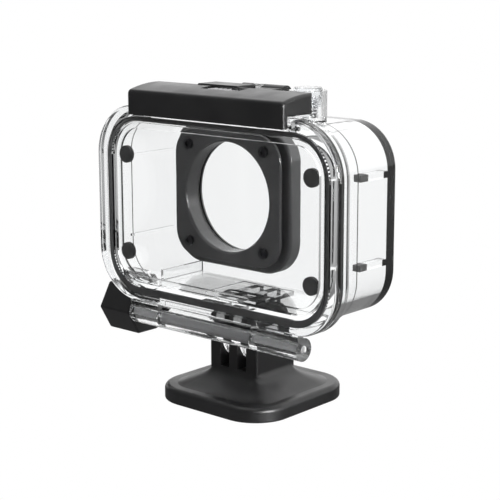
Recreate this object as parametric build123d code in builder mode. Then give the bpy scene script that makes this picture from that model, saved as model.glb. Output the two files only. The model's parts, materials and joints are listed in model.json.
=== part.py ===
from build123d import *
import os

os.makedirs("parts", exist_ok=True)

# Clear waterproof housing for a small action camera, standing on a square plinth.
# Frame: the origin is the centre of the plinth's underside, +Z is up, +X is to the right
# as seen from the door, and +Y runs from the door to the lens port. Millimetres.

# ---------------------------------------------------------------- driving dimensions
# Plinth and its three mounting fingers
PLINTH_SIZE = 40.0
PLINTH_CORNER = 10.5
PLINTH_SIDE = 4.1            # height of the plinth's upright side
PLINTH_SHOULDER = 1.4        # rounding of its upper edge
PLINTH_FOOT_ROUND = 0.4
PAD_INSET = 1.2              # margin of the adhesive pad inside the plinth
PAD_THICKNESS = 0.8
NECK_WIDTH = 16.8            # across all three fingers, along X
NECK_DEPTH = 15.6            # finger depth, along Y
SLOT_FLOOR_Z = 9.3
SLOT_WIDTH = 3.1
SLOT_PITCH = 3.05            # each slot's centre, left and right of the middle
TILT_Z = 17.8                # height of the clamp screw's axis

# Clamp screw, nut and knob
SCREW_RADIUS = 2.5
SCREW_CLEARANCE = 0.08
SHANK_RADIUS = 3.2
WASHER_RADIUS = 4.6
WASHER_THICKNESS = 0.6
NUT_ACROSS_FLATS = 8.0
NUT_THICKNESS = 3.2
KNOB_INNER_X = -40.3
KNOB_OUTER_X = -52.7
KNOB_RADIUS = 8.0            # to the corners of the hexagon

# Door and housing, as depths along Y
DOOR_REAR_Y = -16.8
DOOR_THICKNESS = 2.2
DOOR_GAP = 0.2
FLANGE_THICKNESS = 2.0
NECK_STEP_Y = -6.5           # end of the slightly wider neck behind the flange
NECK_STEP = 0.6
BODY_FRONT_Y = 10.1
FRONT_WALL = 2.2

# Outlines seen from the door: width, height, corner radius and centre height
RIM = (84.0, 53.7, 14.0)
RIM_Z = 52.05
BODY = (79.0, 49.6, 12.0)
BODY_Z = 52.2
CAVITY = (73.6, 44.5, 9.5)
CAVITY_Z = 52.3
LIP_OUTER = (72.8, 43.7, 9.1)
LIP_WIDTH = 1.4
LIP_DEPTH = 1.4              # how far the door's lip reaches into the cavity
SEAL_OUTER = (77.4, 48.7, 11.5)
SEAL_OUTER_Z = 51.55
SEAL_INNER = (74.2, 45.7, 9.9)
SEAL_INNER_Z = 51.9
SEAL_GROOVE = 1.2
SEAL_GAP = 0.05              # air under the seal and under the door's pads

# Lens port
LENS_X = -15.2
LENS_Z = 52.4
LENS_RADIUS = 15.4           # clear opening
LENS_FRAME = (42.8, 40.6, 9.5)  # width, height and corner radius in front of the housing
LENS_FRAME_DEPTH = 4.9       # from the front wall, with the gap
LENS_FRAME_GAP = 0.1         # the frame stands off the wall on its seal
COLLAR_WALL = 1.1            # the frame's collar, through the hole in the front wall
LENS_PLATE_INSET = 1.9       # the clamp plate inside is smaller than the frame by this all round
LENS_PLATE_THICKNESS = 0.9
OPENING_ROUND = 0.75         # rounding of the clear opening's edge inside the cavity
GLASS_RADIUS = 17.0
GLASS_THICKNESS = 1.7
LENS_SCREW_PITCH = 27.8
LENS_SCREW_DEPTH = 3.0       # thread length inside the frame

# Camera rails and pads
RAIL_HEIGHTS = (41.5, 64.0)
RAIL_THICKNESS = 1.6
RAIL_REACH = 2.5
RAIL_PAD_START_Y = -3.0
RAIL_PAD_LENGTH = 3.0
RAIL_PAD_GAP = 0.05          # air between each rail pad and the wall and rail beside it
RIDGE_THICKNESS = 0.6        # low ridges on the left wall, opposite the rails
RIDGE_REACH = 0.7
RIDGE_START_Y = -9.0
DOOR_PAD_X = 32.3
DOOR_PAD_MIDDLE_Z = 51.8
DOOR_PAD_Z = 13.4            # each pad's centre, above or below that middle
DOOR_PAD_RADIUS = 2.35

# Door hinge
HINGE_Y = -14.5
HINGE_Z = 21.6
HINGE_RADIUS = 3.0
PIN_RADIUS = 1.0
PIN_CLEARANCE = 0.06
HINGE_END_X = 29.8
HINGE_LEFT_X = -19.2         # inner end of the door's left knuckle
HINGE_RIGHT_X = 14.2         # inner end of the door's right knuckle
KNUCKLE_GAP = 0.3

# Latch on top of the housing
LATCH_HALF_WIDTH = 27.0
LATCH_REAR_Y = -19.4
LATCH_FRONT_Y = -8.0
LIP_BOTTOM_Z = 76.8
LATCH_LIP = 2.2
LATCH_BOTTOM_Z = 79.6
LATCH_TOP_Z = 84.8
LATCH_AXIS_Y = 3.0
LATCH_AXIS_Z = 82.6
LATCH_KNUCKLE_RADIUS = 2.3
LATCH_KNUCKLES = ((-5.4, -2.0), (2.3, 9.3))
EAR_X = (-1.7, 2.0)          # the housing's ear, between the two knuckles
DOOR_RELIEF_Z = 76.3         # the door rim's top edge where the latch hangs over it
LOCK_SLOT_X = (-5.6, 7.4)
LOCK_Y = -11.6
LOCK_WIDTH = 4.4
LOCK_LENGTH = 9.4
LOCK_CLEARANCE = 0.2

# Shutter button and its turret
SHUTTER_X = 21.0
SHUTTER_Y = -2.6
TURRET_RADIUS = 4.8
TURRET_TOP_Z = 84.8
TURRET_FLOOR_Z = 78.2
BUTTON_RADIUS = 3.6
BUTTON_TOP_Z = 85.6
BUTTON_BOTTOM_Z = 80.9
PLUNGER_RADIUS = 1.2
PLUNGER_CLEARANCE = 0.06
PLUNGER_END_Z = 72.2
SPRING_RADIUS = 2.3
SPRING_WIRE = 0.28
SPRING_TURNS = 5

# ---------------------------------------------------------------- places worked out from them
DOOR_FRONT_Y = DOOR_REAR_Y + DOOR_THICKNESS
FLANGE_Y = DOOR_FRONT_Y + DOOR_GAP
CAVITY_FRONT_Y = BODY_FRONT_Y - FRONT_WALL
CAVITY_TOP_Z = CAVITY_Z + CAVITY[1] / 2
CAVITY_FLOOR_Z = CAVITY_Z - CAVITY[1] / 2
CAVITY_SIDE_X = CAVITY[0] / 2
BODY_TOP_Z = BODY_Z + BODY[1] / 2
BODY_BOTTOM_Z = BODY_Z - BODY[1] / 2
LENS_FRAME_Y = BODY_FRONT_Y + LENS_FRAME_GAP
LENS_FRONT_Y = BODY_FRONT_Y + LENS_FRAME_DEPTH
SCREW_HOLE_RADIUS = SCREW_RADIUS + SCREW_CLEARANCE
PAD_SIZE = PLINTH_SIZE - 2 * PAD_INSET
RIM_BOTTOM_Z = RIM_Z - RIM[1] / 2
RAIL_START_Y = RAIL_PAD_START_Y + RAIL_PAD_LENGTH
LIP_INNER = (LIP_OUTER[0] - 2 * LIP_WIDTH, LIP_OUTER[1] - 2 * LIP_WIDTH, LIP_OUTER[2] - LIP_WIDTH)
LENS_PLATE_Y = CAVITY_FRONT_Y - LENS_PLATE_THICKNESS
STANDING = (Align.CENTER, Align.CENTER, Align.MIN)


def rear_view(y):
    """Sketch plane at depth y: local x is +X, local y is +Z, and its normal points to -Y."""
    return Plane.XZ.offset(-y)


def side_view(x):
    """Sketch plane at x: local x is +Y, local y is +Z, and its normal points to +X."""
    return Plane.YZ.offset(x)


def finish(builder, name):
    """Label a finished piece and write it as its own STEP file."""
    builder.part.label = name
    export_step(builder.part, f"parts/{name}.step")


# ---------------------------------------------------------------- plinth
FLARE_STEPS = (0.0, 0.25, 0.5, 0.75, 1.0)
FLARE_POWER = 2.2            # makes the plinth's top concave
FLARE_BOTTOM_Z = PLINTH_SIDE - 0.25
NECK_CORNER = 1.6
FINGER_BOTTOM_Z = SLOT_FLOOR_Z - 1.0
FINGER_ROUND = 0.5


def flare(edge_size, neck_size, step):
    """A size of the concave top, from its edge at step 0 to the neck at step 1."""
    return neck_size + (edge_size - neck_size) * (1 - step) ** FLARE_POWER


with BuildPart() as finger_block:
    with BuildSketch(side_view(-NECK_WIDTH / 2)):
        with Locations((0, TILT_Z)):
            Circle(NECK_DEPTH / 2)
        with Locations((0, (FINGER_BOTTOM_Z + TILT_Z) / 2)):
            Rectangle(NECK_DEPTH, TILT_Z - FINGER_BOTTOM_Z)
    extrude(amount=NECK_WIDTH)
    finger_ends = finger_block.faces().filter_by(Axis.X)
    fillet(finger_ends.edges().group_by(Axis.Z)[1:], FINGER_ROUND)

with BuildPart() as base_plinth:
    with BuildSketch():
        RectangleRounded(PLINTH_SIZE, PLINTH_SIZE, PLINTH_CORNER)
    extrude(amount=PLINTH_SIDE)
    fillet(base_plinth.edges().group_by(Axis.Z)[0], PLINTH_FOOT_ROUND)
    fillet(base_plinth.edges().group_by(Axis.Z)[-1], PLINTH_SHOULDER)
    top_size = PLINTH_SIZE - 2 * PLINTH_SHOULDER
    for step in FLARE_STEPS:
        with BuildSketch(Plane.XY.offset(FLARE_BOTTOM_Z + step * (SLOT_FLOOR_Z - FLARE_BOTTOM_Z))):
            RectangleRounded(
                flare(top_size, NECK_WIDTH, step),
                flare(top_size, NECK_DEPTH, step),
                flare(PLINTH_CORNER - PLINTH_SHOULDER, NECK_CORNER, step),
            )
    loft()
    add(finger_block.part)
    for side in (-1, 1):
        with Locations((side * SLOT_PITCH, 0, SLOT_FLOOR_Z)):
            Box(SLOT_WIDTH, NECK_DEPTH + 1, 20, align=STANDING, mode=Mode.SUBTRACT)
    with BuildSketch(side_view(-NECK_WIDTH / 2)):
        with Locations((0, TILT_Z)):
            Circle(SCREW_HOLE_RADIUS)
    extrude(amount=NECK_WIDTH, mode=Mode.SUBTRACT)
    with BuildSketch(side_view(NECK_WIDTH / 2)):
        with Locations((0, TILT_Z)):
            RegularPolygon(NUT_ACROSS_FLATS / 2, 6, major_radius=False)
    extrude(amount=-NUT_THICKNESS, mode=Mode.SUBTRACT)
    with BuildSketch():
        RectangleRounded(PAD_SIZE, PAD_SIZE, PLINTH_CORNER - PAD_INSET)
    extrude(amount=PAD_THICKNESS, mode=Mode.SUBTRACT)
finish(base_plinth, "base_plinth")

with BuildPart() as base_pad:
    with BuildSketch():
        RectangleRounded(PAD_SIZE, PAD_SIZE, PLINTH_CORNER - PAD_INSET)
    extrude(amount=PAD_THICKNESS)
finish(base_pad, "base_pad")

# ---------------------------------------------------------------- clamp screw, nut and knob
SHANK_END_X = -NECK_WIDTH / 2 - WASHER_THICKNESS - 0.2
SHANK_SOCKET = 5.0           # how far the shank sits inside the knob
SCREW_END_X = NECK_WIDTH / 2 + 1.6
KNOB_DISH_RADIUS = 4.4
KNOB_DISH_DEPTH = 1.0
KNOB_EDGE_ROUND = 0.9
KNOB_FACE_ROUND = 0.8
KNOB_CHAMFER = 0.5
NUT_CHAMFER = 0.4
SCREW_CHAMFER = 0.5

with BuildPart() as clamp_nut:
    with BuildSketch(side_view(NECK_WIDTH / 2)):
        with Locations((0, TILT_Z)):
            RegularPolygon(NUT_ACROSS_FLATS / 2, 6, major_radius=False)
            Circle(SCREW_HOLE_RADIUS, mode=Mode.SUBTRACT)
    extrude(amount=-NUT_THICKNESS)
    chamfer(clamp_nut.edges().filter_by(GeomType.LINE).group_by(Axis.X)[-1], NUT_CHAMFER)
finish(clamp_nut, "clamp_nut")

with BuildPart() as clamp_screw:
    with BuildSketch(side_view(KNOB_INNER_X - SHANK_SOCKET)):
        with Locations((0, TILT_Z)):
            Circle(SHANK_RADIUS)
    extrude(amount=SHANK_END_X - KNOB_INNER_X + SHANK_SOCKET)
    with BuildSketch(side_view(SHANK_END_X)):
        with Locations((0, TILT_Z)):
            Circle(SCREW_RADIUS)
    extrude(amount=SCREW_END_X - SHANK_END_X)
    chamfer(clamp_screw.edges().group_by(Axis.X)[-1], SCREW_CHAMFER)
finish(clamp_screw, "clamp_screw")

with BuildPart() as clamp_washer:
    with BuildSketch(side_view(SHANK_END_X)):
        with Locations((0, TILT_Z)):
            Circle(WASHER_RADIUS)
            Circle(SCREW_RADIUS, mode=Mode.SUBTRACT)
    extrude(amount=WASHER_THICKNESS)
finish(clamp_washer, "clamp_washer")

with BuildPart() as thumb_knob:
    with BuildSketch(side_view(KNOB_OUTER_X)):
        with Locations((0, TILT_Z)):
            RegularPolygon(KNOB_RADIUS, 6)
    extrude(amount=KNOB_INNER_X - KNOB_OUTER_X)
    fillet(thumb_knob.edges().filter_by(Axis.X), KNOB_EDGE_ROUND)
    fillet(thumb_knob.faces().sort_by(Axis.X)[0].edges(), KNOB_FACE_ROUND)
    chamfer(thumb_knob.faces().sort_by(Axis.X)[-1].edges(), KNOB_CHAMFER)
    with BuildSketch(side_view(KNOB_INNER_X)):
        with Locations((0, TILT_Z)):
            Circle(SHANK_RADIUS)
    extrude(amount=-SHANK_SOCKET, mode=Mode.SUBTRACT)
    with BuildSketch(side_view(KNOB_OUTER_X)):
        with Locations((0, TILT_Z)):
            Circle(KNOB_DISH_RADIUS)
    extrude(amount=KNOB_DISH_DEPTH, mode=Mode.SUBTRACT)
finish(thumb_knob, "thumb_knob")

# ---------------------------------------------------------------- housing shell
KNUCKLE_LEFT_X = HINGE_LEFT_X + KNUCKLE_GAP
KNUCKLE_RIGHT_X = HINGE_RIGHT_X - KNUCKLE_GAP
PRONG_THICKNESS = SLOT_WIDTH - KNUCKLE_GAP
PRONG_RADIUS = 7.3
ROOT_SIZE = (18.0, 15.0)     # block under the housing that carries the prongs
ROOT_BOTTOM_Z = 26.2
EAR_BOTTOM_Z = BODY_TOP_Z - 0.5      # the ear and the turret start inside the top wall
BODY_FRONT_ROUND = 0.8
HINGE_WEB = (1.3, 2.2)       # the middle knuckle's web: its middle in front of the pin, its thickness
COLLAR_HOLE_RADIUS = LENS_RADIUS + COLLAR_WALL + 0.1
LENS_SCREW_HEAD_RADIUS = 1.5
LENS_SCREW_RADIUS = 0.8
LENS_SCREW_CLEARANCE = 0.1
LENS_SCREW_HEAD = 0.8
LENS_SCREW_SOCKET_RADIUS = 0.75
LENS_SCREW_SOCKET = 0.5      # depth of the hexagonal socket in its head
RING_GROOVE_Z = 75.2
RING_GROOVE_HEIGHT = 1.1
RING_WIRE = 0.55
FLOOR_RIB_X = -25.5
FLOOR_RIB_START_Y = -8.0
FLOOR_RIB_THICKNESS = 0.9
FLOOR_RIB_HEIGHT = 2.8
TAB_X = (-34.5, -26.0)       # small stop for the camera, on the floor behind the door
TAB_Y = -10.5
TAB_THICKNESS = 1.2
TAB_HEIGHT = 2.8
TAB_SLOPE = 1.6
EMBED = 0.3                  # how far added features reach into the wall that carries them

with BuildPart() as housing_neck:
    with BuildSketch(rear_view(NECK_STEP_Y)):
        with Locations((0, BODY_Z)):
            RectangleRounded(BODY[0] + 2 * NECK_STEP, BODY[1] + 2 * NECK_STEP, BODY[2] + NECK_STEP)
    extrude(amount=NECK_STEP_Y - FLANGE_Y)

with BuildPart() as housing_shell:
    # box, neck and flange
    with BuildSketch(rear_view(BODY_FRONT_Y)):
        with Locations((0, BODY_Z)):
            RectangleRounded(*BODY)
    extrude(amount=BODY_FRONT_Y - FLANGE_Y)
    fillet(housing_shell.faces().sort_by(Axis.Y)[-1].edges(), BODY_FRONT_ROUND)
    add(housing_neck.part)
    with BuildSketch(rear_view(FLANGE_Y + FLANGE_THICKNESS)):
        with Locations((0, RIM_Z)):
            RectangleRounded(*RIM)
    extrude(amount=FLANGE_THICKNESS)
    # root block, prongs and the middle hinge knuckle
    with Locations((0, 0, ROOT_BOTTOM_Z)):
        Box(*ROOT_SIZE, BODY_BOTTOM_Z + 1 - ROOT_BOTTOM_Z, align=STANDING)
    for side in (-1, 1):
        with BuildSketch(side_view(side * SLOT_PITCH)):
            with Locations((0, TILT_Z)):
                Circle(PRONG_RADIUS)
            with Locations((0, (TILT_Z + ROOT_BOTTOM_Z + 1) / 2)):
                Rectangle(2 * PRONG_RADIUS, ROOT_BOTTOM_Z + 1 - TILT_Z)
        extrude(amount=PRONG_THICKNESS / 2, both=True)
    with BuildSketch(side_view(KNUCKLE_LEFT_X)):
        with Locations((HINGE_Y, HINGE_Z)):
            Circle(HINGE_RADIUS)
        with Locations((HINGE_Y + HINGE_WEB[0], (HINGE_Z + RIM_BOTTOM_Z + 1) / 2)):
            Rectangle(HINGE_WEB[1], RIM_BOTTOM_Z + 1 - HINGE_Z)
    extrude(amount=KNUCKLE_RIGHT_X - KNUCKLE_LEFT_X)
    # shutter turret and the latch's ear
    with BuildSketch(Plane.XY.offset(EAR_BOTTOM_Z)):
        with Locations((SHUTTER_X, SHUTTER_Y)):
            Circle(TURRET_RADIUS)
    extrude(amount=TURRET_TOP_Z - EAR_BOTTOM_Z)
    with BuildSketch(side_view(EAR_X[0])):
        with Locations((LATCH_AXIS_Y, LATCH_AXIS_Z)):
            Circle(LATCH_KNUCKLE_RADIUS)
        with Locations((LATCH_AXIS_Y, (LATCH_AXIS_Z + EAR_BOTTOM_Z) / 2)):
            Rectangle(2 * LATCH_KNUCKLE_RADIUS, LATCH_AXIS_Z - EAR_BOTTOM_Z)
    extrude(amount=EAR_X[1] - EAR_X[0])
    # camera cavity, with its rails and floor rib left standing
    with BuildSketch(rear_view(CAVITY_FRONT_Y)):
        with Locations((0, CAVITY_Z)):
            RectangleRounded(*CAVITY)
    extrude(amount=CAVITY_FRONT_Y - FLANGE_Y, mode=Mode.SUBTRACT)
    for rail_z in RAIL_HEIGHTS:
        with Locations((CAVITY_SIDE_X + EMBED, RAIL_START_Y, rail_z)):
            Box(
                RAIL_REACH + EMBED,
                CAVITY_FRONT_Y + EMBED - RAIL_START_Y,
                RAIL_THICKNESS,
                align=(Align.MAX, Align.MIN, Align.CENTER),
            )
        with Locations((-CAVITY_SIDE_X - EMBED, RIDGE_START_Y, rail_z)):
            Box(
                RIDGE_REACH + EMBED,
                CAVITY_FRONT_Y + EMBED - RIDGE_START_Y,
                RIDGE_THICKNESS,
                align=(Align.MIN, Align.MIN, Align.CENTER),
            )
    with Locations((FLOOR_RIB_X, FLOOR_RIB_START_Y, CAVITY_FLOOR_Z - EMBED)):
        Box(
            FLOOR_RIB_THICKNESS,
            CAVITY_FRONT_Y + EMBED - FLOOR_RIB_START_Y,
            FLOOR_RIB_HEIGHT + EMBED,
            align=(Align.CENTER, Align.MIN, Align.MIN),
        )
    with BuildSketch(rear_view(TAB_Y)):
        with BuildLine():
            Polyline(
                (TAB_X[0], CAVITY_FLOOR_Z - EMBED),
                (TAB_X[1], CAVITY_FLOOR_Z - EMBED),
                (TAB_X[1] - TAB_SLOPE, CAVITY_FLOOR_Z + TAB_HEIGHT),
                (TAB_X[0], CAVITY_FLOOR_Z + TAB_HEIGHT),
                close=True,
            )
        make_face()
    extrude(amount=TAB_THICKNESS)
    # lens port hole and its screw holes
    with BuildSketch(rear_view(BODY_FRONT_Y)):
        with Locations((LENS_X, LENS_Z)):
            Circle(COLLAR_HOLE_RADIUS)
            with GridLocations(LENS_SCREW_PITCH, LENS_SCREW_PITCH, 2, 2):
                Circle(LENS_SCREW_RADIUS + LENS_SCREW_CLEARANCE)
    extrude(amount=FRONT_WALL, mode=Mode.SUBTRACT)
    # bores: clamp screw, hinge pin, latch pin
    with BuildSketch(side_view(-NECK_WIDTH / 2)):
        with Locations((0, TILT_Z)):
            Circle(SCREW_HOLE_RADIUS)
    extrude(amount=NECK_WIDTH, mode=Mode.SUBTRACT)
    with BuildSketch(side_view(KNUCKLE_LEFT_X)):
        with Locations((HINGE_Y, HINGE_Z)):
            Circle(PIN_RADIUS)
    extrude(amount=KNUCKLE_RIGHT_X - KNUCKLE_LEFT_X, mode=Mode.SUBTRACT)
    with BuildSketch(side_view(EAR_X[0])):
        with Locations((LATCH_AXIS_Y, LATCH_AXIS_Z)):
            Circle(PIN_RADIUS)
    extrude(amount=EAR_X[1] - EAR_X[0], mode=Mode.SUBTRACT)
    # button well, plunger hole and O-ring groove
    with BuildSketch(Plane.XY.offset(TURRET_FLOOR_Z)):
        with Locations((SHUTTER_X, SHUTTER_Y)):
            Circle(BUTTON_RADIUS + 0.1)
    extrude(amount=TURRET_TOP_Z - TURRET_FLOOR_Z, mode=Mode.SUBTRACT)
    with BuildSketch(Plane.XY.offset(CAVITY_TOP_Z)):
        with Locations((SHUTTER_X, SHUTTER_Y)):
            Circle(PLUNGER_RADIUS + PLUNGER_CLEARANCE)
    extrude(amount=TURRET_FLOOR_Z - CAVITY_TOP_Z, mode=Mode.SUBTRACT)
    with BuildSketch(Plane.XY.offset(RING_GROOVE_Z)):
        with Locations((SHUTTER_X, SHUTTER_Y)):
            Circle(PLUNGER_RADIUS + PLUNGER_CLEARANCE + 2 * RING_WIRE)
    extrude(amount=RING_GROOVE_HEIGHT, mode=Mode.SUBTRACT)
finish(housing_shell, "housing_shell")

with BuildPart() as rail_pads:
    for rail_z in RAIL_HEIGHTS:
        with Locations((CAVITY_SIDE_X - RAIL_PAD_GAP, RAIL_PAD_START_Y, rail_z)):
            Box(
                RAIL_REACH,
                RAIL_PAD_LENGTH - RAIL_PAD_GAP,
                RAIL_THICKNESS,
                align=(Align.MAX, Align.MIN, Align.CENTER),
            )
finish(rail_pads, "rail_pads")

# ---------------------------------------------------------------- lens port
SEAT_Y = BODY_FRONT_Y + 1.7          # step that the lens gasket lies on
LENS_GASKET_THICKNESS = 0.7
RETAINER_Y = SEAT_Y + LENS_GASKET_THICKNESS + GLASS_THICKNESS
COLLAR_REAR_Y = CAVITY_FRONT_Y
PORT_SEAL = (COLLAR_HOLE_RADIUS + 0.3, COLLAR_HOLE_RADIUS + 1.5, 0.8)  # inner, outer, depth
LENS_FRAME_ROUND = 0.9
LENS_PLATE_ROUND = 0.45
GLASS_CHAMFER = 0.15
RETAINER_WIDTH = 1.3
RETAINER_CHAMFER = 0.3
LENS_PLATE = tuple(size - 2 * LENS_PLATE_INSET for size in LENS_FRAME[:2])
LENS_PLATE_CORNER = LENS_FRAME[2] - LENS_PLATE_INSET

with BuildPart() as lens_frame:
    with BuildSketch(rear_view(LENS_FRONT_Y)):
        with Locations((LENS_X, LENS_Z)):
            RectangleRounded(*LENS_FRAME)
    extrude(amount=LENS_FRONT_Y - LENS_FRAME_Y)
    fillet(lens_frame.faces().sort_by(Axis.Y)[-1].edges(), LENS_FRAME_ROUND)
    fillet(lens_frame.faces().sort_by(Axis.Y)[0].edges(), LENS_FRAME_ROUND)
    with BuildSketch(rear_view(LENS_FRAME_Y)):
        with Locations((LENS_X, LENS_Z)):
            Circle(LENS_RADIUS + COLLAR_WALL)
    extrude(amount=LENS_FRAME_Y - COLLAR_REAR_Y)
    with BuildSketch(rear_view(LENS_FRONT_Y)):
        with Locations((LENS_X, LENS_Z)):
            Circle(LENS_RADIUS)
    extrude(amount=LENS_FRONT_Y - COLLAR_REAR_Y, mode=Mode.SUBTRACT)
    with BuildSketch(rear_view(LENS_FRONT_Y)):
        with Locations((LENS_X, LENS_Z)):
            Circle(GLASS_RADIUS)
    extrude(amount=LENS_FRONT_Y - SEAT_Y, mode=Mode.SUBTRACT)
    with BuildSketch(rear_view(BODY_FRONT_Y)):
        with Locations((LENS_X, LENS_Z)):
            Circle(PORT_SEAL[1])
            Circle(PORT_SEAL[0], mode=Mode.SUBTRACT)
    extrude(amount=-PORT_SEAL[2], mode=Mode.SUBTRACT)
    with BuildSketch(rear_view(BODY_FRONT_Y)):
        with Locations((LENS_X, LENS_Z)):
            with GridLocations(LENS_SCREW_PITCH, LENS_SCREW_PITCH, 2, 2):
                Circle(LENS_SCREW_RADIUS)
    extrude(amount=-LENS_SCREW_DEPTH, mode=Mode.SUBTRACT)
finish(lens_frame, "lens_frame")

with BuildPart() as lens_plate:
    with BuildSketch(rear_view(CAVITY_FRONT_Y)):
        with Locations((LENS_X, LENS_Z)):
            RectangleRounded(*LENS_PLATE, LENS_PLATE_CORNER)
    extrude(amount=LENS_PLATE_THICKNESS)
    fillet(lens_plate.faces().sort_by(Axis.Y)[0].edges(), LENS_PLATE_ROUND)
    with BuildSketch(rear_view(CAVITY_FRONT_Y)):
        with Locations((LENS_X, LENS_Z)):
            Circle(LENS_RADIUS)
    extrude(amount=LENS_PLATE_THICKNESS, mode=Mode.SUBTRACT)
    fillet(lens_plate.edges().filter_by(GeomType.CIRCLE).group_by(Axis.Y)[0], OPENING_ROUND)
    with BuildSketch(rear_view(CAVITY_FRONT_Y)):
        with Locations((LENS_X, LENS_Z)):
            with GridLocations(LENS_SCREW_PITCH, LENS_SCREW_PITCH, 2, 2):
                Circle(LENS_SCREW_RADIUS)
    extrude(amount=LENS_PLATE_THICKNESS, mode=Mode.SUBTRACT)
finish(lens_plate, "lens_plate")

with BuildPart() as lens_gasket:
    with BuildSketch(rear_view(SEAT_Y)):
        with Locations((LENS_X, LENS_Z)):
            Circle(GLASS_RADIUS)
            Circle(LENS_RADIUS, mode=Mode.SUBTRACT)
    extrude(amount=-LENS_GASKET_THICKNESS)
finish(lens_gasket, "lens_gasket")

with BuildPart() as lens_window:
    with BuildSketch(rear_view(SEAT_Y + LENS_GASKET_THICKNESS)):
        with Locations((LENS_X, LENS_Z)):
            Circle(GLASS_RADIUS)
    extrude(amount=-GLASS_THICKNESS)
    chamfer(lens_window.edges(), GLASS_CHAMFER)
finish(lens_window, "lens_window")

with BuildPart() as lens_retainer:
    with BuildSketch(rear_view(LENS_FRONT_Y)):
        with Locations((LENS_X, LENS_Z)):
            Circle(GLASS_RADIUS)
            Circle(GLASS_RADIUS - RETAINER_WIDTH, mode=Mode.SUBTRACT)
    extrude(amount=LENS_FRONT_Y - RETAINER_Y)
    chamfer(lens_retainer.edges().sort_by(Axis.Y)[-1], RETAINER_CHAMFER)
finish(lens_retainer, "lens_retainer")

with BuildPart() as port_seal:
    with BuildSketch(rear_view(BODY_FRONT_Y)):
        with Locations((LENS_X, LENS_Z)):
            Circle(PORT_SEAL[1])
            Circle(PORT_SEAL[0], mode=Mode.SUBTRACT)
    extrude(amount=-PORT_SEAL[2])
finish(port_seal, "port_seal")

with BuildPart() as lens_screws:
    with BuildSketch(rear_view(LENS_PLATE_Y)):
        with Locations((LENS_X, LENS_Z)):
            with GridLocations(LENS_SCREW_PITCH, LENS_SCREW_PITCH, 2, 2):
                Circle(LENS_SCREW_HEAD_RADIUS)
                RegularPolygon(LENS_SCREW_SOCKET_RADIUS, 6, mode=Mode.SUBTRACT)
    extrude(amount=LENS_SCREW_HEAD)
    with BuildSketch(rear_view(BODY_FRONT_Y + LENS_SCREW_DEPTH)):
        with Locations((LENS_X, LENS_Z)):
            with GridLocations(LENS_SCREW_PITCH, LENS_SCREW_PITCH, 2, 2):
                Circle(LENS_SCREW_RADIUS)
    extrude(amount=BODY_FRONT_Y + LENS_SCREW_DEPTH - LENS_PLATE_Y + LENS_SCREW_HEAD - LENS_SCREW_SOCKET)
finish(lens_screws, "lens_screws")

# ---------------------------------------------------------------- door, seal, pads and hinge pin
DOOR_WEB_THICKNESS = DOOR_THICKNESS - 0.1
DOOR_WEB_TOP_Z = RIM_BOTTOM_Z + 0.6
DOOR_KNUCKLES = ((-HINGE_END_X, HINGE_LEFT_X), (HINGE_RIGHT_X, HINGE_END_X))
DOOR_PAD_THICKNESS = 1.0
SEAL_PROUD = 0.12
RELIEF_HALF_WIDTH = LATCH_HALF_WIDTH + 0.5
WINDOW_INSET = 0.5           # the door's pane lies this far below its rim
WINDOW = (76.0, 48.6, 11.0)
WINDOW_Z = 51.2
DOOR_ROUND = 0.8             # rounding of the rim's outer edge
PIN_INSET = 0.3              # the hinge pin ends this far inside the outer knuckles
PIN_CHAMFER = 0.2

with BuildPart() as back_door:
    with BuildSketch(rear_view(DOOR_FRONT_Y)):
        with Locations((0, RIM_Z)):
            RectangleRounded(*RIM)
    extrude(amount=DOOR_THICKNESS)
    fillet(back_door.faces().sort_by(Axis.Y)[0].edges(), DOOR_ROUND)
    with Locations((0, (DOOR_REAR_Y + DOOR_FRONT_Y) / 2, DOOR_RELIEF_Z)):
        Box(2 * RELIEF_HALF_WIDTH, DOOR_THICKNESS + 1, 10, align=STANDING, mode=Mode.SUBTRACT)
    with BuildSketch(rear_view(DOOR_REAR_Y + WINDOW_INSET)):
        with Locations((0, WINDOW_Z)):
            RectangleRounded(*WINDOW)
    extrude(amount=WINDOW_INSET, mode=Mode.SUBTRACT)
    with BuildSketch(rear_view(DOOR_FRONT_Y + LIP_DEPTH)):
        with Locations((0, CAVITY_Z)):
            RectangleRounded(*LIP_OUTER)
            RectangleRounded(*LIP_INNER, mode=Mode.SUBTRACT)
    extrude(amount=LIP_DEPTH + 0.2)
    with BuildSketch(rear_view(DOOR_FRONT_Y)):
        with Locations((0, SEAL_OUTER_Z)):
            RectangleRounded(*SEAL_OUTER)
        with Locations((0, SEAL_INNER_Z)):
            RectangleRounded(*SEAL_INNER, mode=Mode.SUBTRACT)
    extrude(amount=SEAL_GROOVE, mode=Mode.SUBTRACT)
    for start_x, end_x in DOOR_KNUCKLES:
        with BuildSketch(side_view(start_x)):
            with Locations((HINGE_Y, HINGE_Z)):
                Circle(HINGE_RADIUS)
            with Locations((DOOR_REAR_Y + DOOR_WEB_THICKNESS / 2, (HINGE_Z + DOOR_WEB_TOP_Z) / 2)):
                Rectangle(DOOR_WEB_THICKNESS, DOOR_WEB_TOP_Z - HINGE_Z)
            with Locations((HINGE_Y, HINGE_Z)):
                Circle(PIN_RADIUS + PIN_CLEARANCE, mode=Mode.SUBTRACT)
        extrude(amount=end_x - start_x)
finish(back_door, "back_door")

with BuildPart() as door_seal:
    with BuildSketch(rear_view(DOOR_FRONT_Y - SEAL_GROOVE + SEAL_GAP)):
        with Locations((0, SEAL_OUTER_Z)):
            RectangleRounded(*SEAL_OUTER)
        with Locations((0, SEAL_INNER_Z)):
            RectangleRounded(*SEAL_INNER, mode=Mode.SUBTRACT)
    extrude(amount=-(SEAL_GROOVE + SEAL_PROUD - SEAL_GAP))
finish(door_seal, "door_seal")

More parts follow.
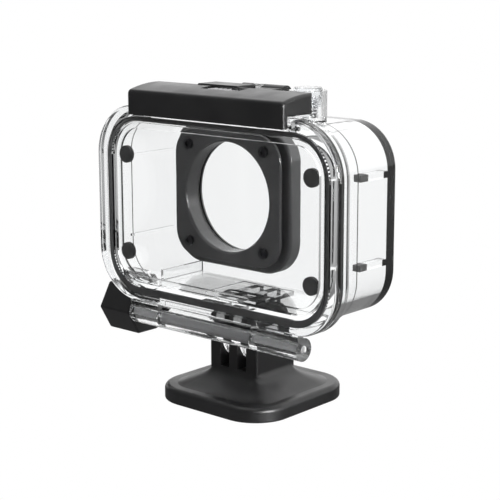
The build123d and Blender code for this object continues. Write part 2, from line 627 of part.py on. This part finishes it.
with BuildPart() as door_pads:
    with BuildSketch(rear_view(DOOR_FRONT_Y + SEAL_GAP)):
        with Locations((0, DOOR_PAD_MIDDLE_Z)):
            with GridLocations(2 * DOOR_PAD_X, 2 * DOOR_PAD_Z, 2, 2):
                Circle(DOOR_PAD_RADIUS)
    extrude(amount=-DOOR_PAD_THICKNESS)
finish(door_pads, "door_pads")

with BuildPart() as hinge_pin:
    with BuildSketch(side_view(PIN_INSET - HINGE_END_X)):
        with Locations((HINGE_Y, HINGE_Z)):
            Circle(PIN_RADIUS)
    extrude(amount=2 * (HINGE_END_X - PIN_INSET))
    chamfer(hinge_pin.edges().filter_by(GeomType.CIRCLE), PIN_CHAMFER)
finish(hinge_pin, "hinge_pin")

# ---------------------------------------------------------------- latch
TONGUE_X = (-11.0, 3.0)
TONGUE_FRONT_Y = -2.0
TONGUE_TOP_Z = 85.2
TONGUE_BOTTOM_Z = 80.4
LOCK_FLOOR_Z = 81.6
LOCK_FOOT = 0.9              # thickness of the slider's foot, and of its undercut
LOCK_FOOT_WIDTH = LOCK_WIDTH + 1.2
LOCK_HEIGHT = 2.4
LOCK_RIBS = 4
LOCK_RIB_PITCH = 1.6
LOCK_RIB = (0.6, 3.0, 0.3)
LOCK_SLOT_LENGTH = LOCK_SLOT_X[1] - LOCK_SLOT_X[0]
TONGUE_LENGTH = 7.0
LINK_BOTTOM_Z = 80.9
LINK_TOP_Z = 84.2
LATCH_REAR_DROP = 1.6        # how far the slab's curved top falls towards the rear
LATCH_CROWN = (-14.0, 0.35)  # a point on that curve: its depth, and how far it lies below the top
TONGUE_ROUND = 0.35
LATCH_TOP_ROUND = 1.3
LATCH_END_ROUND = 0.8
LATCH_PIN_ENDS = (LATCH_KNUCKLES[0][0], LATCH_KNUCKLES[1][1])

with BuildPart() as latch_arm:
    with BuildSketch(side_view(-LATCH_HALF_WIDTH)):
        with BuildLine():
            Polyline(
                (LATCH_REAR_Y, LATCH_TOP_Z - LATCH_REAR_DROP),
                (LATCH_REAR_Y, LIP_BOTTOM_Z),
                (LATCH_REAR_Y + LATCH_LIP, LIP_BOTTOM_Z),
                (LATCH_REAR_Y + LATCH_LIP, LATCH_BOTTOM_Z),
                (LATCH_FRONT_Y, LATCH_BOTTOM_Z),
                (LATCH_FRONT_Y, LATCH_TOP_Z),
            )
            ThreePointArc(
                (LATCH_FRONT_Y, LATCH_TOP_Z),
                (LATCH_CROWN[0], LATCH_TOP_Z - LATCH_CROWN[1]),
                (LATCH_REAR_Y, LATCH_TOP_Z - LATCH_REAR_DROP),
            )
        make_face()
    extrude(amount=2 * LATCH_HALF_WIDTH)
    fillet(latch_arm.edges().filter_by(Axis.X).group_by(Axis.Z)[-2], LATCH_TOP_ROUND)
    fillet(latch_arm.faces().filter_by(Axis.X).edges().group_by(Axis.Z)[1:], LATCH_END_ROUND)
    # tongue, and the link that carries it to the knuckle
    with Locations((sum(TONGUE_X) / 2, TONGUE_FRONT_Y, TONGUE_BOTTOM_Z)):
        Box(
            TONGUE_X[1] - TONGUE_X[0],
            TONGUE_LENGTH,
            TONGUE_TOP_Z - TONGUE_BOTTOM_Z,
            align=(Align.CENTER, Align.MAX, Align.MIN),
        )
    fillet(latch_arm.faces().sort_by(Axis.Z)[-1].edges(), TONGUE_ROUND)
    for start_x, end_x in LATCH_KNUCKLES:
        with BuildSketch(side_view(start_x)):
            with Locations((LATCH_AXIS_Y, LATCH_AXIS_Z)):
                Circle(LATCH_KNUCKLE_RADIUS)
        extrude(amount=end_x - start_x)
        with Locations((start_x, LATCH_AXIS_Y, LINK_BOTTOM_Z)):
            Box(
                end_x - start_x,
                LATCH_AXIS_Y - LATCH_FRONT_Y + 1,
                LINK_TOP_Z - LINK_BOTTOM_Z,
                align=(Align.MIN, Align.MAX, Align.MIN),
            )
    # undercut slot for the lock slider, and the pin's bore
    with Locations((sum(LOCK_SLOT_X) / 2, LOCK_Y, LOCK_FLOOR_Z)):
        Box(LOCK_SLOT_LENGTH, LOCK_WIDTH, 10, align=STANDING, mode=Mode.SUBTRACT)
        Box(LOCK_SLOT_LENGTH, LOCK_FOOT_WIDTH, LOCK_FOOT, align=STANDING, mode=Mode.SUBTRACT)
    with BuildSketch(side_view(LATCH_PIN_ENDS[0])):
        with Locations((LATCH_AXIS_Y, LATCH_AXIS_Z)):
            Circle(PIN_RADIUS + PIN_CLEARANCE)
    extrude(amount=LATCH_PIN_ENDS[1] - LATCH_PIN_ENDS[0], mode=Mode.SUBTRACT)
finish(latch_arm, "latch_arm")

with BuildPart() as latch_lock:
    lock_middle_x = LOCK_SLOT_X[0] + LOCK_CLEARANCE + LOCK_LENGTH / 2
    with Locations((lock_middle_x, LOCK_Y, LOCK_FLOOR_Z + LOCK_CLEARANCE)):
        Box(LOCK_LENGTH, LOCK_WIDTH - 2 * LOCK_CLEARANCE, LOCK_HEIGHT, align=STANDING)
        Box(
            LOCK_LENGTH,
            LOCK_FOOT_WIDTH - 2 * LOCK_CLEARANCE,
            LOCK_FOOT - 2 * LOCK_CLEARANCE,
            align=STANDING,
        )
    with Locations((lock_middle_x, LOCK_Y, LOCK_FLOOR_Z + LOCK_CLEARANCE + LOCK_HEIGHT)):
        with GridLocations(LOCK_RIB_PITCH, 1, LOCK_RIBS, 1):
            Box(*LOCK_RIB, align=STANDING)
finish(latch_lock, "latch_lock")

with BuildPart() as latch_pin:
    with BuildSketch(side_view(LATCH_PIN_ENDS[0])):
        with Locations((LATCH_AXIS_Y, LATCH_AXIS_Z)):
            Circle(PIN_RADIUS)
    extrude(amount=LATCH_PIN_ENDS[1] - LATCH_PIN_ENDS[0])
    chamfer(latch_pin.edges().filter_by(GeomType.CIRCLE), PIN_CHAMFER)
finish(latch_pin, "latch_pin")

# ---------------------------------------------------------------- shutter button
BUTTON_POCKET_RADIUS = 2.75
BUTTON_POCKET_TOP_Z = 83.2
CLIP_RADIUS = 2.3
CLIP_THICKNESS = 0.4
CLIP_Z = CAVITY_TOP_Z - 0.15 - CLIP_THICKNESS
CLIP_GROOVE_RADIUS = 0.9
CLIP_SLOT_WIDTH = 1.6        # lets the clip slide onto the plunger
BUTTON_ROUND = 0.5

with BuildPart() as shutter_button:
    with BuildSketch(Plane.XY.offset(BUTTON_BOTTOM_Z)):
        with Locations((SHUTTER_X, SHUTTER_Y)):
            Circle(BUTTON_RADIUS)
    extrude(amount=BUTTON_TOP_Z - BUTTON_BOTTOM_Z)
    fillet(shutter_button.edges().group_by(Axis.Z)[-1], BUTTON_ROUND)
    with BuildSketch(Plane.XY.offset(BUTTON_BOTTOM_Z)):
        with Locations((SHUTTER_X, SHUTTER_Y)):
            Circle(BUTTON_POCKET_RADIUS)
    extrude(amount=BUTTON_POCKET_TOP_Z - BUTTON_BOTTOM_Z, mode=Mode.SUBTRACT)
    with BuildSketch(Plane.XY.offset(PLUNGER_END_Z)):
        with Locations((SHUTTER_X, SHUTTER_Y)):
            Circle(PLUNGER_RADIUS)
    extrude(amount=BUTTON_POCKET_TOP_Z - PLUNGER_END_Z)
    with BuildSketch(Plane.XY.offset(CLIP_Z)):
        with Locations((SHUTTER_X, SHUTTER_Y)):
            Circle(PLUNGER_RADIUS + 0.5)
            Circle(CLIP_GROOVE_RADIUS, mode=Mode.SUBTRACT)
    extrude(amount=CLIP_THICKNESS, mode=Mode.SUBTRACT)
finish(shutter_button, "shutter_button")

with BuildPart() as shutter_clip:
    with BuildSketch(Plane.XY.offset(CLIP_Z)):
        with Locations((SHUTTER_X, SHUTTER_Y)):
            Circle(CLIP_RADIUS)
            Circle(CLIP_GROOVE_RADIUS, mode=Mode.SUBTRACT)
        with Locations((SHUTTER_X + CLIP_RADIUS, SHUTTER_Y)):
            Rectangle(2 * CLIP_RADIUS, CLIP_SLOT_WIDTH, mode=Mode.SUBTRACT)
    extrude(amount=CLIP_THICKNESS)
finish(shutter_clip, "shutter_clip")

with BuildPart() as shutter_ring:
    ring_radius = PLUNGER_RADIUS + PLUNGER_CLEARANCE + RING_WIRE
    with BuildSketch(rear_view(SHUTTER_Y)):
        with Locations((SHUTTER_X + ring_radius, RING_GROOVE_Z + RING_WIRE)):
            Circle(RING_WIRE)
    revolve(axis=Axis((SHUTTER_X, SHUTTER_Y, 0), (0, 0, 1)))
finish(shutter_ring, "shutter_ring")

with BuildPart() as shutter_spring:
    spring_length = BUTTON_POCKET_TOP_Z - TURRET_FLOOR_Z - 2 * SPRING_WIRE
    with BuildLine(Plane((SHUTTER_X, SHUTTER_Y, TURRET_FLOOR_Z + SPRING_WIRE))) as spring_line:
        Helix(spring_length / SPRING_TURNS, spring_length, SPRING_RADIUS)
    with BuildSketch(Plane(origin=spring_line.line @ 0, z_dir=spring_line.line % 0)):
        Circle(SPRING_WIRE)
    sweep()
finish(shutter_spring, "shutter_spring")
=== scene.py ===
import json
from math import radians

import bpy
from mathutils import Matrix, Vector

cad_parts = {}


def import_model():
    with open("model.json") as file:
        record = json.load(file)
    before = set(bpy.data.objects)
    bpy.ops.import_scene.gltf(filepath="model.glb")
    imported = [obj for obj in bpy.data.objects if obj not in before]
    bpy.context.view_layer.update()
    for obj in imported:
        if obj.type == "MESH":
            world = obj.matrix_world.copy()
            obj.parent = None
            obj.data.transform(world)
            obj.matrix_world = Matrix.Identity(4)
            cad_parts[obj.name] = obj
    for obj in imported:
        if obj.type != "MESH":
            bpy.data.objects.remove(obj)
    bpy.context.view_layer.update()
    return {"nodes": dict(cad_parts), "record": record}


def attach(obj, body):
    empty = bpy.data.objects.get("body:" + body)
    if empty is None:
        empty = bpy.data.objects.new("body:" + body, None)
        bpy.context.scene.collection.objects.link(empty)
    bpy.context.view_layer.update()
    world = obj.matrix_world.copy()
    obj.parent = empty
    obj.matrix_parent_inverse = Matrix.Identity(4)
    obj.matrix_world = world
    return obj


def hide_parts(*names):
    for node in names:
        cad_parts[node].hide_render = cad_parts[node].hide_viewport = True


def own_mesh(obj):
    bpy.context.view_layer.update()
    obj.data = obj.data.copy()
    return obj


# Looks for a clear waterproof camera housing on a square stand. Metres throughout.
# +X is to the right as seen from the door, +Y runs towards the lens port, +Z is up.

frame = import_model()
nodes = frame["nodes"]

# ---------------------------------------------------------------- driving values
# camera
CAMERA_PLACE = Vector((0.2351, -0.2663, 0.1157))
CAMERA_TARGET = Vector((-0.0008, 0.0, 0.0405))
CAMERA_LENS = 97.5           # mm, on a 36 mm sensor
CAMERA_ROLL = radians(-0.13)
CAMERA_CLIP_START = 0.01

# surround, as seen directly, through clear parts, and by matte surfaces
WHITE = (1.0, 1.0, 1.0, 1.0)
SEEN_THROUGH = 1.08
AMBIENT = 0.78

# studio, which only mirrored light sees. Each pair is where a change starts and where it ends.
BEYOND_Y = (-0.15, 0.45)     # of a direction's Y: the dark front changes to the bright back
BEYOND_LEVEL = (0.02, 1.3)
TOP_Z = (0.70, 0.92)         # of a direction's Z
TOP_LEVEL = (0.0, 1.45)
KEY_DIRECTION = (0.96, -0.19, 0.12)
KEY_COSINE = (0.955, 0.980)  # of the angle from the key light's middle
KEY_LEVEL = (0.0, 40.0)
STRIP_AZIMUTHS = (-2.60, -1.85, -0.35)  # radians
STRIP_HALF_WIDTH = (0.04, 0.09)
STRIP_LEVEL = (0.45, 0.0)
FLOOR_RADIUS = 6.0
FLOOR_SIDES = 96
FLOOR_Y = (-0.10, 0.25)
FLOOR_LEVEL = (0.03, 0.55)

# surfaces: noise scales are in cells per metre, and heights in metres
NOISE_RANGE = (0.3, 0.7)     # the part of a noise's values that sets a roughness
HAZE_SCALE = 90.0
HAZE_RANGE = (0.45, 0.75)
HAZE_DEPTH = 0.02
WAVE_SCALE = 260.0
RIPPLE_SCALE = 900.0
RIPPLE_HEIGHT = 12.0         # against the waviness elsewhere
HINGE_RIPPLE_Z = (0.0245, 0.0262)   # clear plastic is rippled below this height
TURRET_RIPPLE_Z = (0.0772, 0.0780)  # and above this one
PLASTIC_CLOUD_SCALE = 140.0
PLASTIC_GRAIN_SCALE = 5200.0
PLASTIC_GRAIN = (0.25, 0.00004)     # strength and height
RUBBER_CLOUD_SCALE = 260.0
RUBBER_GRAIN_SCALE = 3000.0
RUBBER_GRAIN = (0.2, 0.00003)
STEEL_METALLIC = 0.6
STEEL_GROOVES = (4000.0, 40.0, 40.0)  # cells per metre along X, Y and Z
STEEL_PALE = 1.12            # of the colour
STEEL_ROUGHNESS = (0.32, 0.46)
STEEL_RELIEF = (0.15, 0.00003)


# ---------------------------------------------------------------- node helpers
class Graph:
    """A material's or world's node tree, with short calls to add and join nodes."""

    def __init__(self, tree):
        self.tree = tree
        tree.nodes.clear()

    def add(self, kind, **values):
        """Adds a node. Keys are its properties, or its inputs by name with spaces as underscores."""
        node = self.tree.nodes.new(kind)
        for key, value in values.items():
            if hasattr(node, key):
                setattr(node, key, value)
            else:
                self.put(node, key.replace("_", " "), value)
        return node

    def put(self, node, socket, value):
        """Sets an input to a constant, or joins it to another node's output."""
        target = node.inputs[socket]
        if isinstance(value, bpy.types.NodeSocket):
            self.tree.links.new(value, target)
        else:
            target.default_value = value

    def math(self, operation, a, b=0.0):
        node = self.tree.nodes.new("ShaderNodeMath")
        node.operation = operation
        self.put(node, 0, a)
        self.put(node, 1, b)
        return node.outputs[0]

    def spread(self, value, low, high, new_low=0.0, new_high=1.0):
        """Maps value from low..high to new_low..new_high, smoothly and without running over."""
        node = self.tree.nodes.new("ShaderNodeMapRange")
        node.interpolation_type = "SMOOTHSTEP"
        for index, item in enumerate((value, low, high, new_low, new_high)):
            self.put(node, index, item)
        return node.outputs["Result"]

    def choose(self, flag, a, b):
        """The value a where flag is 0, and b where it is 1."""
        node = self.add("ShaderNodeMix", data_type="FLOAT")
        self.put(node, 0, flag)
        self.put(node, 2, a)
        self.put(node, 3, b)
        return node.outputs[0]

    def noise(self, place, scale, detail=3.0, roughness=0.5):
        node = self.add("ShaderNodeTexNoise", Scale=scale, Detail=detail, Roughness=roughness)
        self.put(node, "Vector", place)
        return node.outputs["Fac"]

    def tone(self, value, dark, light):
        """A colour between dark and light, by a value from 0 to 1."""
        node = self.add("ShaderNodeMix", data_type="RGBA", clamp_factor=True)
        self.put(node, 0, value)
        self.put(node, 6, (*dark, 1.0))
        self.put(node, 7, (*light, 1.0))
        return node.outputs[2]


def new_material(name):
    """A material with one Principled shader, its graph, and the object's own coordinates."""
    material = bpy.data.materials.new(name)
    material.use_nodes = True
    graph = Graph(material.node_tree)
    shader = graph.add("ShaderNodeBsdfPrincipled")
    output = graph.add("ShaderNodeOutputMaterial")
    graph.put(output, "Surface", shader.outputs[0])
    place = graph.add("ShaderNodeTexCoord").outputs["Object"]
    return material, graph, shader, place


def bump(graph, shader, height, strength, distance):
    """Gives the shader a relief whose full height is distance."""
    node = graph.add("ShaderNodeBump", Strength=strength, Distance=distance)
    graph.put(node, "Height", height)
    graph.put(shader, "Normal", node.outputs[0])


# ---------------------------------------------------------------- materials
def clear_plastic(name, tint, roughness, ior, waviness):
    """Polished moulded polycarbonate: faintly wavy, and rippled at the hinge and turret."""
    material, graph, shader, place = new_material(name)
    shader.inputs["Base Color"].default_value = (*tint, 1.0)
    shader.inputs["Transmission Weight"].default_value = 1.0
    shader.inputs["IOR"].default_value = ior
    clouds = graph.noise(place, HAZE_SCALE)
    haze = graph.spread(clouds, *HAZE_RANGE, roughness, roughness + HAZE_DEPTH)
    graph.put(shader, "Roughness", haze)
    axes = graph.add("ShaderNodeSeparateXYZ")
    graph.put(axes, 0, place)
    hinge = graph.spread(axes.outputs["Z"], *HINGE_RIPPLE_Z, 1.0, 0.0)
    turret = graph.spread(axes.outputs["Z"], *TURRET_RIPPLE_Z)
    ripples = graph.math("MULTIPLY", graph.noise(place, RIPPLE_SCALE, 2.0), RIPPLE_HEIGHT)
    ripples = graph.math("MULTIPLY", graph.math("MAXIMUM", hinge, turret), ripples)
    height = graph.math("ADD", graph.noise(place, WAVE_SCALE, 1.0), ripples)
    bump(graph, shader, height, 1.0, waviness)
    return material


def black_plastic(name, dark, light, roughness, ior):
    """Spark-eroded plastic: a fine grain, and faint clouds that are paler and rougher."""
    material, graph, shader, place = new_material(name)
    shader.inputs["IOR"].default_value = ior
    clouds = graph.noise(place, PLASTIC_CLOUD_SCALE, 4.0)
    gloss = graph.spread(clouds, *NOISE_RANGE, roughness - 0.05, roughness + 0.05)
    graph.put(shader, "Base Color", graph.tone(clouds, dark, light))
    graph.put(shader, "Roughness", gloss)
    bump(graph, shader, graph.noise(place, PLASTIC_GRAIN_SCALE, 2.0), *PLASTIC_GRAIN)
    return material


def rubber(name, dark, light, roughness):
    """Smooth moulded rubber, silicone or foam, with a soft grain and faint clouds."""
    material, graph, shader, place = new_material(name)
    clouds = graph.noise(place, RUBBER_CLOUD_SCALE, 4.0)
    gloss = graph.spread(clouds, *NOISE_RANGE, roughness - 0.06, roughness + 0.06)
    graph.put(shader, "Base Color", graph.tone(clouds, dark, light))
    graph.put(shader, "Roughness", gloss)
    bump(graph, shader, graph.noise(place, RUBBER_GRAIN_SCALE, 2.0), *RUBBER_GRAIN)
    return material


def steel(name, colour):
    """Turned stainless steel, slightly dull, with fine grooves around the X axis."""
    material, graph, shader, place = new_material(name)
    shader.inputs["Metallic"].default_value = STEEL_METALLIC
    grooves = graph.add("ShaderNodeMapping", vector_type="POINT")
    grooves.inputs["Scale"].default_value = STEEL_GROOVES
    graph.put(grooves, "Vector", place)
    lines = graph.noise(grooves.outputs[0], 1.0, 2.0)
    pale = tuple(min(1.0, channel * STEEL_PALE) for channel in colour)
    graph.put(shader, "Base Color", graph.tone(lines, colour, pale))
    graph.put(shader, "Roughness", graph.spread(lines, *NOISE_RANGE, *STEEL_ROUGHNESS))
    bump(graph, shader, lines, *STEEL_RELIEF)
    return material


# Clear: tint, roughness, IOR and waviness. Black: darkest and lightest colour, roughness and IOR.
# Rubber: darkest and lightest colour, and roughness. Steel: colour.
FINISHES = {
    clear_plastic: {
        "clear_plastic": ((0.985, 0.99, 0.992), 0.0, 1.49, 0.000004),
        "lens_glass": ((0.99, 0.995, 0.995), 0.0, 1.46, 0.0),
        "button_plastic": ((0.93, 0.94, 0.95), 0.05, 1.49, 0.00003),
    },
    black_plastic: {
        "black_plastic": ((0.012, 0.012, 0.0125), (0.022, 0.022, 0.023), 0.34, 1.5),
        "satin_black": ((0.105, 0.105, 0.107), (0.130, 0.130, 0.132), 0.22, 1.9),
    },
    rubber: {
        # Painted light: this pale grey stands in for the bright strip of light seen in the lock
        # slot, not for the part's own colour.
        "grey_plastic": ((0.74, 0.74, 0.75), (0.84, 0.84, 0.85), 0.16),
        "pale_silicone": ((0.50, 0.50, 0.51), (0.60, 0.60, 0.61), 0.40),
        "grey_silicone": ((0.085, 0.085, 0.086), (0.120, 0.120, 0.121), 0.34),
        "black_rubber": ((0.085, 0.085, 0.085), (0.110, 0.110, 0.110), 0.5),
        "foam_pad": ((0.02, 0.02, 0.02), (0.04, 0.04, 0.04), 0.85),
    },
    steel: {
        "steel": ((0.86, 0.86, 0.87),),
        "dark_steel": ((0.06, 0.06, 0.065),),
    },
}

materials = {}
for make, finishes in FINISHES.items():
    for name, values in finishes.items():
        materials[name] = make(name, *values)

slot_of = {part["node"]: part["material_slot"] for part in frame["record"]["subparts"]}
for name, node in nodes.items():
    node.data.materials.clear()
    node.data.materials.append(materials[slot_of[name]])


# ---------------------------------------------------------------- spring under the button
def spring():
    """The button's spring, standing on the housing, with a mesh of its own."""
    coil = bpy.data.objects.new("button_spring", nodes["shutter_spring"].data.copy())
    bpy.context.scene.collection.objects.link(coil)
    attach(coil, "housing")
    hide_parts("shutter_spring")
    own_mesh(coil)


# ---------------------------------------------------------------- floor, light and camera
def surround(graph, studio):
    """Brightness of the surround: white seen directly and through clear parts, even for
    scattered light, and the studio's own pattern for anything mirrored on the way."""
    ray = graph.add("ShaderNodeLightPath")
    through = graph.math("GREATER_THAN", ray.outputs["Transmission Depth"], 0.5)
    scattered = graph.math("GREATER_THAN", ray.outputs["Diffuse Depth"], 0.5)
    mirrored = graph.math("GREATER_THAN", ray.outputs["Glossy Depth"], 0.5)
    value = graph.choose(through, 1.0, SEEN_THROUGH)
    value = graph.choose(scattered, value, AMBIENT)
    return graph.choose(mirrored, value, studio)


def floor():
    """A plain floor that glows as the surround does. Mirrored, it darkens towards the front."""
    bpy.ops.mesh.primitive_circle_add(vertices=FLOOR_SIDES, radius=FLOOR_RADIUS, fill_type="NGON")
    disc = bpy.context.object
    disc.name = "floor"
    material = bpy.data.materials.new("floor")
    material.use_nodes = True
    graph = Graph(material.node_tree)
    axes = graph.add("ShaderNodeSeparateXYZ")
    graph.put(axes, 0, graph.add("ShaderNodeTexCoord").outputs["Object"])
    studio = graph.spread(axes.outputs["Y"], *FLOOR_Y, *FLOOR_LEVEL)
    glow = graph.add("ShaderNodeEmission", Color=WHITE)
    graph.put(glow, "Strength", surround(graph, studio))
    output = graph.add("ShaderNodeOutputMaterial")
    graph.put(output, "Surface", glow.outputs[0])
    disc.data.materials.append(material)


def world():
    """A studio: bright beyond and above the object, a narrow key light on the right, and dark
    in front, with a few tall strips."""
    scene_world = bpy.data.worlds.new("studio")
    bpy.context.scene.world = scene_world
    scene_world.use_nodes = True
    graph = Graph(scene_world.node_tree)
    direction = graph.add("ShaderNodeTexCoord").outputs["Generated"]
    axes = graph.add("ShaderNodeSeparateXYZ")
    graph.put(axes, 0, direction)
    beyond = graph.spread(axes.outputs["Y"], *BEYOND_Y, *BEYOND_LEVEL)
    above = graph.spread(axes.outputs["Z"], *TOP_Z, *TOP_LEVEL)
    studio = graph.math("MAXIMUM", beyond, above)
    toward_key = graph.add("ShaderNodeVectorMath", operation="DOT_PRODUCT")
    graph.put(toward_key, 0, direction)
    graph.put(toward_key, 1, Vector(KEY_DIRECTION).normalized())
    key = graph.spread(toward_key.outputs["Value"], *KEY_COSINE, *KEY_LEVEL)
    studio = graph.math("MAXIMUM", studio, key)
    azimuth = graph.math("ARCTAN2", axes.outputs["Y"], axes.outputs["X"])
    for strip_azimuth in STRIP_AZIMUTHS:
        away = graph.math("ABSOLUTE", graph.math("SUBTRACT", azimuth, strip_azimuth))
        strip = graph.spread(away, *STRIP_HALF_WIDTH, *STRIP_LEVEL)
        studio = graph.math("MAXIMUM", studio, strip)
    back = graph.add("ShaderNodeBackground", Color=WHITE)
    graph.put(back, "Strength", surround(graph, studio))
    output = graph.add("ShaderNodeOutputWorld")
    graph.put(output, "Surface", back.outputs[0])


def camera():
    """The camera, at the reference view."""
    data = bpy.data.cameras.new("camera")
    data.lens = CAMERA_LENS
    data.clip_start = CAMERA_CLIP_START
    eye = bpy.data.objects.new("camera", data)
    bpy.context.scene.collection.objects.link(eye)
    eye.location = CAMERA_PLACE
    look = CAMERA_TARGET - CAMERA_PLACE
    eye.rotation_euler = look.to_track_quat("-Z", "Y").to_euler()
    eye.rotation_euler.rotate_axis("Z", CAMERA_ROLL)
    bpy.context.scene.camera = eye


spring()
floor()
world()
camera()
bpy.context.scene.view_settings.view_transform = "Standard"
bpy.context.scene.cycles.max_bounces = 32
bpy.context.scene.cycles.transmission_bounces = 32
bpy.context.scene.cycles.glossy_bounces = 16
